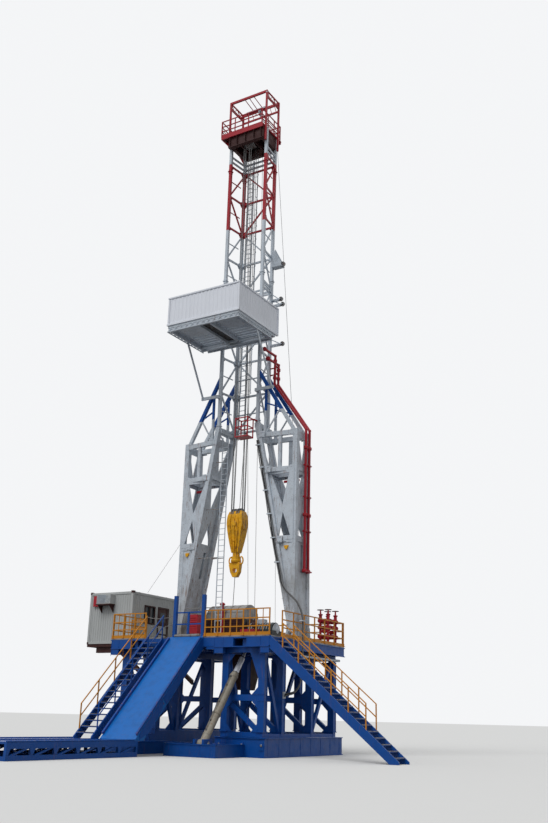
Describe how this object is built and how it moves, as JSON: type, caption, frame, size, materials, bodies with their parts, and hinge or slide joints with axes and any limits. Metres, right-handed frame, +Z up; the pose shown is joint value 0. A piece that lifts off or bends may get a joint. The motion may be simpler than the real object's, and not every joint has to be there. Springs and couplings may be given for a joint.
{
  "type": "land drilling rig with mast and substructure",
  "caption": "Land drilling rig: raised drill floor with ramp, stairs and cabin, open-front mast with racking board, crown, travelling block and hook.",
  "frame": {"origin": "on the ground, at the middle of the whole footprint", "axes": "+X to the right seen from the ramp side, the ramp and catwalk lie towards -Y, +Z up"},
  "size_m": [19.2, 20.06, 37.8],
  "materials": {
    "blue_paint": "semi-gloss structure paint",
    "ramp_paint": "bright blue paint, worn",
    "orange_paint": "safety orange paint",
    "grey_paint": "light blue-grey mast paint",
    "mast_paint": "light grey below and red above",
    "red_paint": "dark red paint",
    "dark_paint": "dark paint",
    "yellow_paint": "golden yellow paint",
    "white_sheet": "off-white sheet",
    "cabin_sheet": "light grey ribbed sheet",
    "plain_steel": "bare worn steel",
    "wire_rope": "greased wire rope",
    "cylinder_paint": "beige grey paint and chrome rod",
    "unit_plastic": "off-white case"
  },
  "bodies": {
    "rig": {"base_left": "blue_paint", "base_right": "blue_paint", "cross_beams": "blue_paint", "frame_left": "blue_paint", "frame_right": "blue_paint", "floor_beams": "blue_paint", "deck": "plain_steel", "rotary_table": "dark_paint", "ramp": "ramp_paint", "v_door_gate": "blue_paint", "catwalk": "blue_paint", "stair_left": "blue_paint", "stair_right": "blue_paint", "handrails_left": "orange_paint", "handrails_right": "orange_paint", "railing_front": "orange_paint", "railing_right": "orange_paint", "railing_rear": "orange_paint", "railing_left": "orange_paint", "doghouse_base": "dark_paint", "doghouse_walls": "cabin_sheet", "doghouse_roof": "cabin_sheet", "cooling_unit": "unit_plastic", "drawworks": "grey_paint", "manifold": "red_paint", "cylinder_left": "cylinder_paint", "cylinder_right": "cylinder_paint", "mast_leg_left": "grey_paint", "mast_leg_right": "grey_paint", "tower_left": "mast_paint", "tower_right": "mast_paint", "tower_back": "mast_paint", "crown_beams": "dark_paint", "crown_platform": "red_paint", "gin_frame": "red_paint", "drilling_lines": "wire_rope", "racking_board": "grey_paint", "wind_walls": "white_sheet", "ladder": "grey_paint", "standpipes": "red_paint", "stabbing_board": "red_paint"},
    "block": {"travelling_block": "yellow_paint"},
    "hook": {"hook": "yellow_paint"},
    "sheaves": {"crown_sheaves": "plain_steel"},
    "door": {"doghouse_door": "dark_paint"}
  },
  "joints": [
    {"name": "block_travel", "type": "slide", "parent": "rig", "child": "block", "axis": [0, 0, 1], "range_m": [-2.4, 20], "deforming": ["drilling_lines"]},
    {"name": "hook_swivel", "type": "hinge", "parent": "block", "child": "hook", "pos_m": [-1.1, 5.41, 9.3], "axis": [0, 0, 1], "continuous": true},
    {"name": "sheave_spin", "type": "hinge", "parent": "rig", "child": "sheaves", "pos_m": [-1.1, 5.41, 34.87], "axis": [1, 0, 0], "continuous": true},
    {"name": "door_hinge", "type": "hinge", "parent": "rig", "child": "door", "pos_m": [-6.692, 6.33, 6.2], "axis": [0, 0, -1], "range_deg": [0, 100]}
  ]
}
